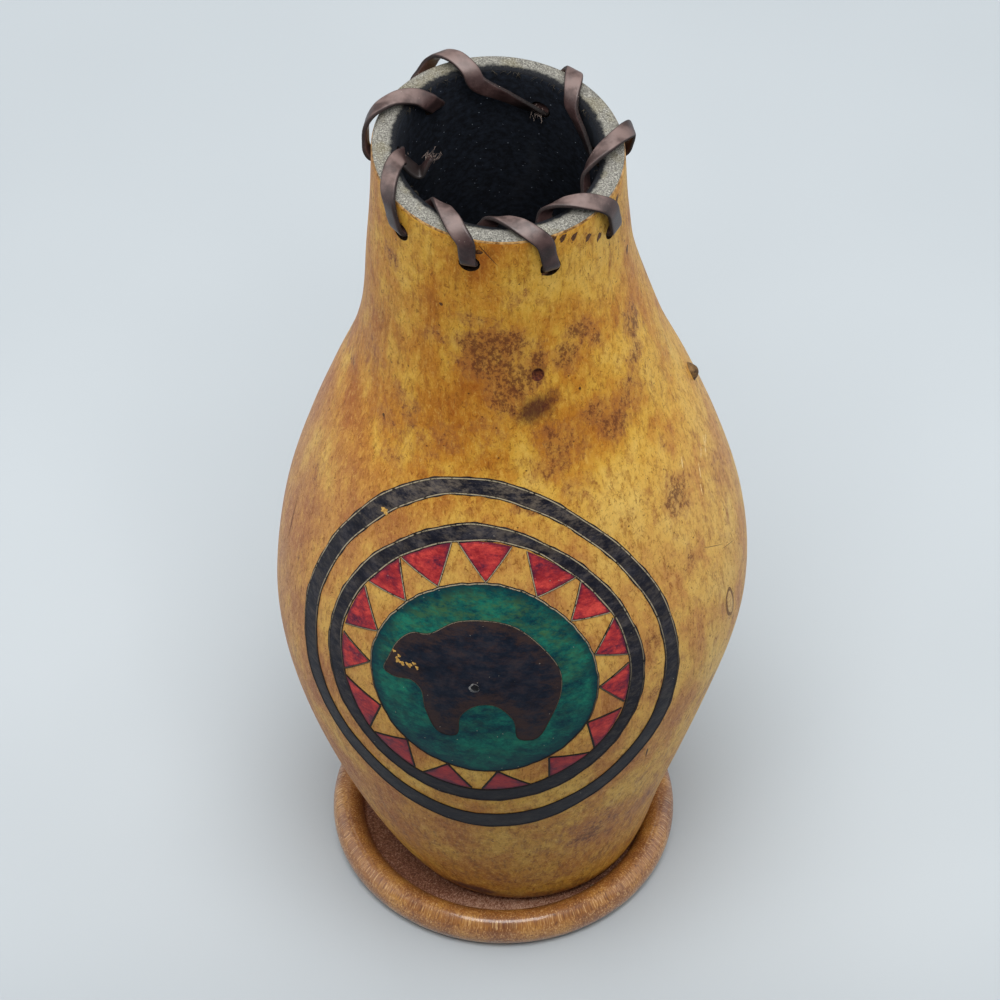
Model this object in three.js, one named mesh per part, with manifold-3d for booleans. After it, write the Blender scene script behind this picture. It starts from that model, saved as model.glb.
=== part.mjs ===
// A painted gourd vase: a dried gourd glued into a turned wooden saucer, with a leather lace
// whipped round its cut rim and a sun-ray medallion with a walking bear painted on its front.
// Millimetres, +Z up. The origin is the centre of the saucer's underside, and the front looks along -Y.
import * as THREE from 'three';
import { mergeVertices } from 'three/addons/utils/BufferGeometryUtils.js';
import Module from 'manifold-3d';

const wasm = await Module();
wasm.setup();

const mix = THREE.MathUtils.lerp;
const radians = THREE.MathUtils.degToRad;

// Gourd
const RIM_HEIGHT = 257;
const RIM_RADIUS = 30;
const BELLY_HEIGHT = 104;
const BELLY_RADIUS = 58.8;
const FOOT_RADIUS = 31.2;
const WALL = 6;
const BOTTOM_WALL = 8;
const RIM_ROUND = 1;
const FOOT_ROUND = 1.5;
const RIM_SLANT = radians(2.7);

// Sideways shifts of the gourd's crooked centre line
const FOOT_SHIFT = 4.2;
const FLANK_SHIFT = 0.9;
const BELLY_SHIFT = 2;
const SHOULDER_SHIFT = 1.4;
const NECK_SHIFT = -0.8;
const RIM_SHIFT = -1.3;

// The gourd stands a little in front of the saucer's middle
const GOURD_FORWARD = 1.4;

// Saucer
const SAUCER_FLOOR = 5;
const BEAD_WIDTH = 8;
const BEAD_HEIGHT = 9.7;
const FOOT_CLEARANCE = 0.5;
const GLUE_THICKNESS = 0.8;
const GLUE_INSET = 2.5;

// Lace
const LACE_WIDTH = 4.4;
const LACE_THICKNESS = 1.2;
const HOLE_DEPTH = 11.5;
const HOLE_CLEARANCE = 0.4;
const BEND_RISE = 1.3;
const BEND_EASE = 0.2;
const ARCH_EASE = 0.3;
const ARCH_DROP = 2;

// Medallion: a disc and the fields that lie round it, each as wide at the sides and as high above and below
// as its two sizes say
const MEDALLION_HEIGHT = 123.6;
const MEDALLION_ANGLE = radians(-7.3);
const DISC = { middle: [-0.2, 0.5], width: 29.8, height: 30.5, tilt: 0 };
const RAY_FIELD = { width: 9.2, height: 10.2 };
const INNER_RING_FIELD = { width: 4.7, height: 5.5 };
const GOLD_FIELD = { width: 5.4, height: 7.6 };
const OUTER_RING_FIELD = { width: 5.5, height: 6.7 };
const BEAR_MARGIN = 13.6;
const OUTLINE_WIDTH = 0.9;
const PAINT_THICKNESS = 0.25;

// Clearance between pieces that touch on the real vase
const GAP = 0.3;

// Fineness of the curved faces
const TURN_STEPS = 48;
const WALL_ROWS = 26;
const INNER_ROWS = 10;
const HOLE_STEPS = 16;
const LACE_STEP = 1.1;

const GOURD_BOTTOM = SAUCER_FLOOR + GAP + GLUE_THICKNESS + GAP;

// The gourd's outline as [share of the way up, share of the way out], foot to belly and belly to rim
const LOWER_FLANK = [[0, 0], [0.08, 0.13], [0.22, 0.315], [0.46, 0.59], [0.71, 0.84], [0.88, 0.963]];
const UPPER_FLANK = [
  [0, 1], [0.14, 0.94], [0.28, 0.76], [0.41, 0.54], [0.54, 0.3], [0.7, 0.12], [0.87, 0.03], [1, 0],
];

// The crooked centre line as [share of the height, sideways shift]
const CENTRE_LINE = [
  [0, FOOT_SHIFT], [0.12, FLANK_SHIFT], [0.45, BELLY_SHIFT],
  [0.75, SHOULDER_SHIFT], [0.88, NECK_SHIFT], [1, RIM_SHIFT],
];

const lowerKnots = LOWER_FLANK.map(([up, out]) => {
  return [mix(GOURD_BOTTOM, BELLY_HEIGHT, up), mix(FOOT_RADIUS, BELLY_RADIUS, out)];
});
const upperKnots = UPPER_FLANK.map(([up, out]) => {
  return [mix(BELLY_HEIGHT, RIM_HEIGHT, up), mix(RIM_RADIUS, BELLY_RADIUS, out)];
});
const centreKnots = CENTRE_LINE.map(([up, shift]) => [mix(GOURD_BOTTOM, RIM_HEIGHT, up), shift]);

// A smooth curve through [height, value] knots
function smoothThrough(knots) {
  const heights = knots.map(([height]) => height);
  const values = knots.map(([, value]) => value);
  const curve = new THREE.CubicInterpolant(heights, values, 1);
  return (height) => curve.evaluate(height)[0];
}

const radiusAt = smoothThrough([...lowerKnots, ...upperKnots]);
const shiftAt = smoothThrough(centreKnots);

// How far the slant of the hand-cut rim reaches down the neck
function slantAt(height) {
  const neckStart = mix(BELLY_HEIGHT, RIM_HEIGHT, 0.6);
  return Math.tan(RIM_SLANT) * THREE.MathUtils.smoothstep(height, neckStart, RIM_HEIGHT);
}

// Places a point of the straight gourd on the crooked one
function bendPoint(point) {
  point.set(point.x + shiftAt(point.z), point.y - GOURD_FORWARD, point.z - slantAt(point.z) * point.x);
  return point;
}

// The angle runs from the front towards +X
function gourdPoint(angle, radius, height) {
  return bendPoint(new THREE.Vector3(radius * Math.sin(angle), -radius * Math.cos(angle), height));
}

function movePoints(geometry, move) {
  const position = geometry.attributes.position;
  const point = new THREE.Vector3();
  for (let i = 0; i < position.count; i++) {
    move(point.fromBufferAttribute(position, i));
    position.setXYZ(i, point.x, point.y, point.z);
  }
  return geometry;
}

// Turns a profile of [radius, height] points about Z
function turned(profile) {
  const points = profile.map(([radius, height]) => new THREE.Vector2(radius, height));
  return new THREE.LatheGeometry(points, TURN_STEPS).rotateX(Math.PI / 2);
}

function welded(geometry) {
  geometry.deleteAttribute('normal');
  geometry.deleteAttribute('uv');
  return mergeVertices(geometry, 1e-4);
}

function toManifold(geometry) {
  const solid = welded(geometry);
  const vertProperties = new Float32Array(solid.attributes.position.array);
  const triVerts = new Uint32Array(solid.index.array);
  return new wasm.Manifold(new wasm.Mesh({ numProp: 3, vertProperties, triVerts }));
}

function fromManifold(solid) {
  const { vertProperties, triVerts } = solid.getMesh();
  const geometry = new THREE.BufferGeometry();
  geometry.setAttribute('position', new THREE.BufferAttribute(new Float32Array(vertProperties), 3));
  geometry.setIndex(new THREE.BufferAttribute(new Uint32Array(triVerts), 1));
  geometry.computeVertexNormals();
  return geometry;
}

const vase = new THREE.Group();

function addPiece(name, geometry, color, roughness) {
  const mesh = new THREE.Mesh(geometry, new THREE.MeshStandardMaterial({ color, roughness, metalness: 0 }));
  mesh.name = name;
  vase.add(mesh);
}

const evenly = (count, make) => Array.from({ length: count }, (_, i) => make(i));

// Saucer: a flat disc with a round bead along its edge
const saucerFloorRadius = FOOT_RADIUS + Math.hypot(FOOT_SHIFT, GOURD_FORWARD) + FOOT_CLEARANCE;
const beadRadius = saucerFloorRadius + BEAD_WIDTH / 2;

function saucerGeometry() {
  const BEAD_STEPS = 14;
  const floorAngle = Math.asin(SAUCER_FLOOR / (BEAD_HEIGHT / 2) - 1);
  const bead = evenly(BEAD_STEPS + 1, (i) => {
    const angle = mix(-Math.PI / 2, Math.PI - floorAngle, i / BEAD_STEPS);
    return [beadRadius + BEAD_WIDTH / 2 * Math.cos(angle), BEAD_HEIGHT / 2 * (1 + Math.sin(angle))];
  });
  return turned([[0, 0], ...bead, [0, SAUCER_FLOOR]]);
}

addPiece('turned_saucer', saucerGeometry(), 0x9a6238, 0.4);

// Glue bed between the gourd's foot and the saucer
function glueGeometry() {
  const bottom = SAUCER_FLOOR + GAP;
  const top = bottom + GLUE_THICKNESS;
  const radius = FOOT_RADIUS - GLUE_INSET;
  const disc = turned([[0, bottom], [radius, bottom], [radius, top], [0, top]]);
  return disc.translate(FOOT_SHIFT, -GOURD_FORWARD, 0);
}

addPiece('glue_bed', glueGeometry(), 0xd8d0b8, 0.3);

// Gourd shell: foot, outer wall, cut rim and inner wall in one turned profile
const rowHeights = evenly(WALL_ROWS + 1, (i) => {
  return mix(GOURD_BOTTOM + FOOT_ROUND, RIM_HEIGHT - RIM_ROUND, i / WALL_ROWS);
});

function shellProfile() {
  const innerBottom = GOURD_BOTTOM + BOTTOM_WALL;
  const rimInner = RIM_RADIUS - WALL;
  const cornerCut = RIM_ROUND * (1 - Math.SQRT1_2);
  const foot = [[0, GOURD_BOTTOM], [FOOT_RADIUS - FOOT_ROUND, GOURD_BOTTOM]];
  const outer = rowHeights.map((height) => [radiusAt(height), height]);
  const rim = [
    [RIM_RADIUS - cornerCut, RIM_HEIGHT - cornerCut],
    [RIM_RADIUS - RIM_ROUND, RIM_HEIGHT],
    [rimInner + RIM_ROUND, RIM_HEIGHT],
    [rimInner + cornerCut, RIM_HEIGHT - cornerCut],
  ];
  const inner = evenly(INNER_ROWS + 1, (i) => {
    const height = mix(RIM_HEIGHT - RIM_ROUND, innerBottom, i / INNER_ROWS);
    return [radiusAt(height) - WALL, height];
  });
  return [...foot, ...outer, ...rim, ...inner, [0, innerBottom]];
}

// Stitches in the order that the lace runs, clockwise from above. Each has the angle of its hand-drilled hole
// from the front and its lean from there to the inner edge, in degrees, how much nearer the rim the hole is
// than the deepest ones, the share of the lean that comes before the rim, and its slack.
const STITCHES = [
  { degrees: -97, lean: -35, rise: 3.8, early: 0.16, slack: 0.8 },
  { degrees: -141, lean: -26, rise: 4.2, early: 0.4, slack: 1.4 },
  { degrees: -203, lean: -27, rise: 0, early: 0.42, slack: 0.2 },
  { degrees: -250, lean: -38, rise: 0, early: 0.16, slack: 1.4 },
  { degrees: -299, lean: -31, rise: 0, early: 0.16, slack: 0.9 },
  { degrees: -336.4, lean: -28, rise: 0.5, early: 0.12, slack: 0.2 },
  { degrees: -373.2, lean: -26, rise: 3, early: 0.04, slack: 0.1 },
  { degrees: -409.6, lean: -33, rise: 2.8, early: 0.16, slack: 0.2 },
];
const HOLES = STITCHES.map(({ degrees, rise }) => {
  return { angle: radians(degrees), height: RIM_HEIGHT - HOLE_DEPTH + rise };
});
const HOLE_RADIUS = Math.hypot(LACE_WIDTH, LACE_THICKNESS) / 2 + HOLE_CLEARANCE;

function holeCutter({ angle, height }) {
  const cutter = new THREE.CylinderGeometry(HOLE_RADIUS, HOLE_RADIUS, WALL * 3, HOLE_STEPS).rotateZ(angle);
  const middle = gourdPoint(angle, radiusAt(height) - WALL / 2, height);
  return cutter.translate(middle.x, middle.y, middle.z);
}

function shellGeometry() {
  let shell = toManifold(movePoints(turned(shellProfile()), bendPoint));
  for (const hole of HOLES) {
    shell = shell.subtract(toManifold(holeCutter(hole)));
  }
  return fromManifold(shell);
}

addPiece('gourd_shell', shellGeometry(), 0xb5894f, 0.45);

// Lace: one flat strip that comes out of each hole, leans up over the rim and drops to the next hole
const LACE_OFFSET = GAP + LACE_THICKNESS / 2;
const ARCH_HEIGHT = RIM_HEIGHT - ARCH_DROP;

// Stops of the arch over the rim: the turn in degrees from its outer side and the share of the lean by then
const ARCH_STOPS = [[15, 0], [50, 0.17], [90, 0.45], [130, 0.76], [165, 0.97]];

// Stops of the loose tail from its tip to the first hole: turn in degrees, way in from the wall and rise
const TAIL_STOPS = [[-9, 7.4, -1.4], [-1, 5, -4.6]];

const outerFace = (height) => radiusAt(height) + LACE_OFFSET;
const innerFace = (height) => radiusAt(height) - WALL - LACE_OFFSET - BEND_EASE;

// The strip's way out through a hole
function throughHole({ angle, height }) {
  const wallMiddle = radiusAt(height) - WALL / 2;
  return [-0.5, 0, 0.5].map((share) => gourdPoint(angle, wallMiddle + share * WALL, height));
}

// The strip's way up the outside and in an arch over the rim, with slack that lifts it off
function overRim({ angle, height }, { lean, early, slack }) {
  const leant = (share) => angle + radians(lean) * share;
  const halfway = mix(height, ARCH_HEIGHT, 0.6);
  const reach = WALL / 2 + LACE_OFFSET + ARCH_EASE + slack;
  const arch = ARCH_STOPS.map(([degrees, share]) => {
    const turn = radians(degrees);
    const radius = RIM_RADIUS - WALL / 2 + reach * Math.cos(turn);
    return gourdPoint(leant(mix(early, 1, share)), radius, ARCH_HEIGHT + reach * Math.sin(turn));
  });
  return [
    gourdPoint(leant(early * 0.1), outerFace(height) + slack * 0.3, height + BEND_RISE),
    gourdPoint(leant(early * 0.5), outerFace(halfway) + BEND_EASE + slack * 0.8, halfway),
    ...arch,
  ];
}

function intoHole({ angle, height }) {
  return gourdPoint(angle, innerFace(height), height + BEND_RISE);
}

// The strip's straight way down the inside, as far as a share of the drop to the next hole
function downInside(start, nextHole, share) {
  const end = intoHole(nextHole);
  return [0.45, 0.8].filter((part) => part <= share).map((part) => start.clone().lerp(end, part));
}

function lacePath() {
  const first = HOLES[0];
  const points = TAIL_STOPS.map(([turn, inwards, rise]) => {
    return gourdPoint(first.angle + radians(turn), RIM_RADIUS - WALL - inwards, first.height + rise);
  });
  HOLES.forEach((hole, i) => {
    const last = i === HOLES.length - 1;
    const nextHole = HOLES[(i + 1) % HOLES.length];
    if (i > 0) points.push(intoHole(hole));
    points.push(...throughHole(hole), ...overRim(hole, STITCHES[i]));
    points.push(...downInside(points.at(-1), nextHole, last ? 0.5 : 1));
  });
  const path = new THREE.CatmullRomCurve3(points, false, 'centripetal');
  path.arcLengthDivisions = points.length * 20;
  return path;
}

// The strip's middle and its width and thickness directions at a share of its length
function laceFrame(path, share) {
  const middle = path.getPointAt(share);
  const along = path.getTangentAt(share);
  const angle = Math.atan2(middle.x - shiftAt(middle.z), -middle.y - GOURD_FORWARD);
  const across = new THREE.Vector3(Math.cos(angle), Math.sin(angle), 0);
  across.addScaledVector(along, -across.dot(along)).normalize();
  return { middle, across, through: new THREE.Vector3().crossVectors(along, across) };
}

// Bends a straight strip along the path
function laceGeometry(path, steps) {
  const frames = evenly(steps + 1, (i) => laceFrame(path, i / steps));
  const strip = new THREE.BoxGeometry(LACE_WIDTH, LACE_THICKNESS, 1, 1, 1, steps);
  return movePoints(strip, (point) => {
    const { middle, across, through } = frames[Math.round((point.z + 0.5) * steps)];
    const { x, y } = point;
    point.copy(middle).addScaledVector(across, x).addScaledVector(through, y);
  });
}

// Least gap between stretches of the lace that are not next to each other, measured on its edges
function laceSelfGap(path, steps) {
  const NEIGHBOUR_LENGTH = 12;
  const skip = Math.round(NEIGHBOUR_LENGTH / LACE_STEP);
  const edges = evenly(steps + 1, (i) => {
    const { middle, across } = laceFrame(path, i / steps);
    return [-0.5, 0, 0.5].map((side) => middle.clone().addScaledVector(across, side * LACE_WIDTH));
  });
  let least = Infinity;
  edges.forEach((here, i) => edges.slice(i + skip).forEach((there) => {
    here.forEach((p) => there.forEach((q) => { least = Math.min(least, p.distanceTo(q)); }));
  }));
  return least - LACE_THICKNESS;
}

const lace = lacePath();
const laceSteps = Math.round(lace.getLength() / LACE_STEP);
addPiece('rim_lace', welded(laceGeometry(lace, laceSteps)), 0x6b4a33, 0.7);
console.log('lace length', lace.getLength().toFixed(1));
console.log('lace least gap to itself', laceSelfGap(lace, laceSteps).toFixed(2));

// The hand-drawn oval round another one, with its own middle and tilt in degrees
function ovalAround(oval, field, middle, tilt) {
  return { middle, width: oval.width + field.width, height: oval.height + field.height, tilt };
}

// The edges of the two rings, from the disc outwards
const innerRingInside = ovalAround(DISC, RAY_FIELD, [-0.6, 1.6], 2);
const innerRingOutside = ovalAround(innerRingInside, INNER_RING_FIELD, [-0.8, 0.7], 7);
const outerRingInside = ovalAround(innerRingOutside, GOLD_FIELD, [-0.3, 0.5], 16);
const outerRingOutside = ovalAround(outerRingInside, OUTER_RING_FIELD, [-0.6, -1], 15);

// Paint: a thin coat that follows the gourd, cut by a stencil for each painted field
function paintCoat() {
  const reach = outerRingOutside.height + 2 * (rowHeights[1] - rowHeights[0]);
  const rows = rowHeights.filter((height) => Math.abs(height - MEDALLION_HEIGHT) < reach);
  const inner = rows.map((height) => [radiusAt(height) + GAP, height]);
  const outer = rows.map((height) => [radiusAt(height) + GAP + PAINT_THICKNESS, height]);
  return toManifold(movePoints(turned([...outer, ...inner.reverse(), outer[0]]), bendPoint));
}

const coat = paintCoat();

// A point of the medallion, measured round the belly and up from its middle, seen from the front
function stencilPoint([round, up]) {
  const height = MEDALLION_HEIGHT + up;
  const point = gourdPoint(MEDALLION_ANGLE + round / BELLY_RADIUS, radiusAt(height) + GAP, height);
  return new THREE.Vector2(point.x, point.z);
}

function paintGeometry(outline, opening) {
  const shape = new THREE.Shape(outline.map(stencilPoint));
  if (opening) shape.holes.push(new THREE.Path(opening.map(stencilPoint)));
  const depth = BELLY_RADIUS * 1.2;
  const stencil = new THREE.ExtrudeGeometry(shape, { depth, bevelEnabled: false }).rotateX(Math.PI / 2);
  return fromManifold(coat.intersect(toManifold(stencil)));
}

// A point on a hand-drawn oval, a turn round it from its right side
function onOval({ middle, width, height, tilt }, turn, grow = 0) {
  const point = new THREE.Vector2((width + grow) * Math.cos(turn), (height + grow) * Math.sin(turn));
  point.rotateAround(new THREE.Vector2(), radians(tilt));
  return point.add(new THREE.Vector2(...middle)).toArray();
}

function ovalOutline(oval) {
  const OVAL_STEPS = 48;
  return evenly(OVAL_STEPS, (i) => onOval(oval, 2 * Math.PI * i / OVAL_STEPS));
}

const BLACK_PAINT = 0x23252b;
const RED_PAINT = 0x7c3340;
const GREEN_PAINT = 0x1f4a4c;
const BEAR_PAINT = 0x2a221f;

const ringGeometry = (outside, inside) => paintGeometry(ovalOutline(outside), ovalOutline(inside));

addPiece('outer_ring_paint', ringGeometry(outerRingOutside, outerRingInside), BLACK_PAINT, 0.5);
addPiece('inner_ring_paint', ringGeometry(innerRingOutside, innerRingInside), BLACK_PAINT, 0.5);

// Sun rays: red triangles that stand on the inner ring and point at the disc. Each has the turns in degrees
// of its two corners on the ring and of its tip on the disc, spaced by eye as the painter did.
const RAYS = [
  [2, 20, 14], [23, 42, 38], [45, 69, 61], [76, 101, 90], [104, 129, 117], [130, 149, 138],
  [152, 173, 164], [177, 194, 184], [197, 220, 210], [223, 243, 232], [247, 266, 255],
  [270, 288, 279], [296, 314, 305], [317, 337, 332], [340, 358, 354],
];

function rayOutline([start, end, tip]) {
  const BASE_STEPS = 6;
  const base = evenly(BASE_STEPS + 1, (i) => {
    return onOval(innerRingInside, radians(mix(start, end, i / BASE_STEPS)), -OUTLINE_WIDTH);
  });
  return [...base, onOval(DISC, radians(tip), OUTLINE_WIDTH)];
}

RAYS.forEach((ray, i) => {
  addPiece(`ray_paint_${String(i + 1).padStart(2, '0')}`, paintGeometry(rayOutline(ray)), RED_PAINT, 0.5);
});

// Bear: it walks to the left, with a margin of the disc at its ends. Its outline is in shares of its length,
// from the nose over the back.
const bearLength = 2 * DISC.width - BEAR_MARGIN;
const BEAR_OUTLINE = [
  [-0.565, -0.03], [-0.545, 0.065], [-0.5, 0.195], [-0.425, 0.28], [-0.325, 0.305], [-0.175, 0.415],
  [0, 0.45], [0.175, 0.42], [0.325, 0.295], [0.425, 0.13], [0.43, -0.02], [0.37, -0.205],
  [0.295, -0.355], [0.205, -0.35], [0.175, -0.205], [0.075, -0.1], [-0.03, -0.11], [-0.115, -0.205],
  [-0.135, -0.355], [-0.225, -0.36], [-0.305, -0.215], [-0.34, -0.075], [-0.4, -0.03], [-0.5, -0.05],
];

function bearOutline(inset) {
  const CURVE_STEPS = 96;
  const corners = BEAR_OUTLINE.map(([x, y]) => new THREE.Vector3(x, y, 0).multiplyScalar(bearLength));
  const points = new THREE.CatmullRomCurve3(corners, true, 'centripetal').getPoints(CURVE_STEPS).slice(1);
  return points.map((point, i) => {
    const before = points[(i + CURVE_STEPS - 1) % CURVE_STEPS];
    const after = points[(i + 1) % CURVE_STEPS];
    const along = after.clone().sub(before).normalize();
    return [point.x + along.y * inset, point.y - along.x * inset];
  });
}

addPiece('disc_paint', paintGeometry(ovalOutline(DISC), bearOutline(-OUTLINE_WIDTH)), GREEN_PAINT, 0.5);
addPiece('bear_paint', paintGeometry(bearOutline(0)), BEAR_PAINT, 0.5);

export default vase;
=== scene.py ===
"""The painted gourd vase, dressed for a studio picture from the photograph's viewpoint.

Sizes are in millimetres and turn into metres where a mesh is made. The frame is the part's own: +Z up, the
painted front towards -Y and the origin under the middle of the saucer. Angles run from the front towards +X.
"""

import math

import bpy
import numpy as np
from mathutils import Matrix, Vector
from mathutils.geometry import delaunay_2d_cdt


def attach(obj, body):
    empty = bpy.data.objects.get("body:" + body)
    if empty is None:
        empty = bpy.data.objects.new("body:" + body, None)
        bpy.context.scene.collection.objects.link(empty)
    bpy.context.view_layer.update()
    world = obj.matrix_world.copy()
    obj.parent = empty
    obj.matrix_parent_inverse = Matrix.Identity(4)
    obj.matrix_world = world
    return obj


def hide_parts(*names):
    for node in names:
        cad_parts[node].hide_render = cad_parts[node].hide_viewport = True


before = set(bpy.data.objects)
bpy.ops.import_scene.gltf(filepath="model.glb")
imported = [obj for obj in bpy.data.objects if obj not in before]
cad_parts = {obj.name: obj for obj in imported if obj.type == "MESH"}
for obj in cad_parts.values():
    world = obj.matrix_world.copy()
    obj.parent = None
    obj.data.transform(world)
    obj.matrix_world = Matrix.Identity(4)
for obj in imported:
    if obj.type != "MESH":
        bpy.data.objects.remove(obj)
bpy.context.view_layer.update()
random = np.random.default_rng(7)
MM = 0.001

# Gourd sizes, as in the part
RIM_HEIGHT, RIM_RADIUS = 257, 30
BELLY_HEIGHT, BELLY_RADIUS = 104, 58.8
FOOT_RADIUS, FOOT_ROUND = 31.2, 1.5
GOURD_BOTTOM, BOTTOM_WALL = 6.4, 8
RIM_ROUND = 1
# The slant begins at a share of the way from the belly to the rim
RIM_SLANT, SLANT_START = math.radians(2.7), 0.6
FOOT_SHIFT, GOURD_FORWARD = 4.2, 1.4
LOWER_FLANK = [(0, 0), (0.08, 0.13), (0.22, 0.315), (0.46, 0.59), (0.71, 0.84), (0.88, 0.963)]
UPPER_FLANK = [(0, 1), (0.14, 0.94), (0.28, 0.76), (0.41, 0.54)]
UPPER_FLANK += [(0.54, 0.3), (0.7, 0.12), (0.87, 0.03), (1, 0)]
CENTRE_LINE = [(0, FOOT_SHIFT), (0.12, 0.9), (0.45, 2), (0.75, 1.4), (0.88, -0.8), (1, -1.3)]

# Saucer sizes
SAUCER_FLOOR = 5
FOOT_CLEARANCE = 0.5
SAUCER_FLOOR_RADIUS = FOOT_RADIUS + math.hypot(FOOT_SHIFT, GOURD_FORWARD) + FOOT_CLEARANCE
BEAD_WIDTH, BEAD_HEIGHT = 8, 9.7
BEAD_RADIUS = SAUCER_FLOOR_RADIUS + BEAD_WIDTH / 2
FOOT_MIDDLE = np.array([FOOT_SHIFT, -GOURD_FORWARD, SAUCER_FLOOR])

# Lace sizes
LACE_WIDTH, LACE_THICKNESS = 4.4, 1.2
LACE_GAP, ARCH_GAP = 0.3, 0.3
LACE_OFFSET = LACE_GAP + LACE_THICKNESS / 2
LACE_WALL = 6
HOLE_DEPTH, HOLE_RADIUS = 11.5, 2.6
BEND_RISE, BEND_EASE = 1.3, 0.2
ARCH_DROP = 2
ARCH_HEIGHT = RIM_HEIGHT - ARCH_DROP
ARCH_REACH = LACE_WALL / 2 + LACE_OFFSET + ARCH_GAP
# Stitches in the order that the lace runs, clockwise from above: angle of the hole and lean to the inner edge
# in degrees, rise of the hole over the deepest ones, share of the lean before the rim, slack
STITCHES = [
    (-97, -35, 3.8, 0.16, 0.8), (-141, -26, 4.2, 0.4, 1.4), (-203, -27, 0, 0.42, 0.2),
    (-250, -38, 0, 0.16, 1.4), (-299, -31, 0, 0.16, 0.9), (-336.4, -28, 0.5, 0.12, 0.2),
    (-373.2, -26, 3, 0.04, 0.1), (-409.6, -33, 2.8, 0.16, 0.2),
]
HOLES = [(math.radians(at), RIM_HEIGHT - HOLE_DEPTH + rise) for at, _, rise, *_ in STITCHES]
# Stops of the arch over the rim: turn in degrees from its outer side, share of the lean by then
ARCH_STOPS = [(15, 0), (50, 0.17), (90, 0.45), (130, 0.76), (165, 0.97)]
# Stops of the loose tail from its tip to the first hole: turn in degrees, way in from the wall and rise
TAIL_STOPS = [(-9, 7.4, -1.4), (-1, 5, -4.6)]

# Medallion ovals: middle, half width round the gourd, half height up it and tilt in degrees
MEDALLION_HEIGHT = 123.6
MEDALLION_ANGLE = math.radians(-7.3)
OUTER_RING = (((-0.6, -1), 54.6, 60.5, 15), ((-0.3, 0.5), 49.1, 53.8, 16))
INNER_RING = (((-0.8, 0.7), 43.7, 46.2, 7), ((-0.6, 1.6), 39, 40.7, 2))
DISC = ((-0.2, 0.5), 29.8, 30.5, 0)
LINE_WIDTH, FINE_LINE = 0.9, 0.65
PAINT_LIFT, BEAR_LIFT = 0.1, 0.16


# Curves and directions


def smooth_through(knots):
    """A smooth curve through (height, value) knots, with each knot's slope the mean of its neighbours'."""
    heights, values = np.array(knots, float).T
    secants = np.diff(values) / np.diff(heights)
    slopes = np.concatenate([secants[:1], (secants[:-1] + secants[1:]) / 2, secants[-1:]])

    def curve(height):
        i = np.clip(np.searchsorted(heights, height) - 1, 0, len(heights) - 2)
        span = heights[i + 1] - heights[i]
        t = np.clip((height - heights[i]) / span, 0, 1)
        start = (1 + 2 * t) * (1 - t) ** 2 * values[i] + t * (1 - t) ** 2 * span * slopes[i]
        end = t * t * (3 - 2 * t) * values[i + 1] + t * t * (t - 1) * span * slopes[i + 1]
        return start + end

    return curve


def between(low, high, share):
    return low + (high - low) * np.asarray(share)


def smooth_step(low, high, value):
    t = np.clip((value - low) / (high - low), 0, 1)
    return t * t * (3 - 2 * t)


def full_turn(count):
    return np.linspace(0, 2 * math.pi, count, endpoint=False)


def unit(vectors):
    return vectors / np.linalg.norm(vectors, axis=-1, keepdims=True)


def turned(side, rise, tilt):
    """The flat place (side, rise) after a turn by tilt degrees."""
    sine, cosine = math.sin(math.radians(tilt)), math.cos(math.radians(tilt))
    return side * cosine - rise * sine, side * sine + rise * cosine


def directions(angle):
    """Unit steps at an angle: round the upright axis and out from it."""
    sine, cosine = np.sin(angle), np.cos(angle)
    level = np.zeros_like(sine)
    return np.stack([cosine, sine, level], -1), np.stack([sine, -cosine, level], -1)


def round_point(angle, radius, height):
    angle, radius, height = np.broadcast_arrays(angle, radius, np.asarray(height, float))
    return np.stack([radius * np.sin(angle), -radius * np.cos(angle), height], -1)


# Shape of the gourd


def flank_knots(flank, low, high, radius):
    """Knots of (height, radius) from shares of the way up and of the way out to the belly."""
    return [(between(low, high, up), between(radius, BELLY_RADIUS, out)) for up, out in flank]


radius_at = smooth_through(
    flank_knots(LOWER_FLANK, GOURD_BOTTOM, BELLY_HEIGHT, FOOT_RADIUS)
    + flank_knots(UPPER_FLANK, BELLY_HEIGHT, RIM_HEIGHT, RIM_RADIUS)
)
shift_at = smooth_through([(between(GOURD_BOTTOM, RIM_HEIGHT, up), shift) for up, shift in CENTRE_LINE])


def slant_at(height):
    start = between(BELLY_HEIGHT, RIM_HEIGHT, SLANT_START)
    return math.tan(RIM_SLANT) * smooth_step(start, RIM_HEIGHT, height)


def gourd_point(angle, radius, height):
    x, y, height = np.moveaxis(round_point(angle, radius, height), -1, 0)
    return np.stack([x + shift_at(height), y - GOURD_FORWARD, height - slant_at(height) * x], -1)


def angle_of(points):
    return np.arctan2(points[..., 0] - shift_at(points[..., 2]), -points[..., 1] - GOURD_FORWARD)


def reach_of(points):
    return np.hypot(points[..., 0] - shift_at(points[..., 2]), points[..., 1] + GOURD_FORWARD)


# Dents and swellings of the grown shell: angle in degrees, height, half width, half height, depth outwards
SWELLINGS = [
    (72, 82, 30, 26, -1.1), (-70, 190, 24, 20, -0.7), (66, 195, 20, 18, 0.6), (170, 120, 40, 35, 0.8),
]
# Heights between which the shell grows uneven over the foot and even again at the neck
UNEVEN_FROM = (GOURD_BOTTOM + 4, GOURD_BOTTOM + 30)
EVEN_FROM = (215, 236)


def round_way(angle, at, radius):
    """Distance round the gourd from the angle at, given in degrees."""
    return np.angle(np.exp(1j * (angle - math.radians(at)))) * radius


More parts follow.
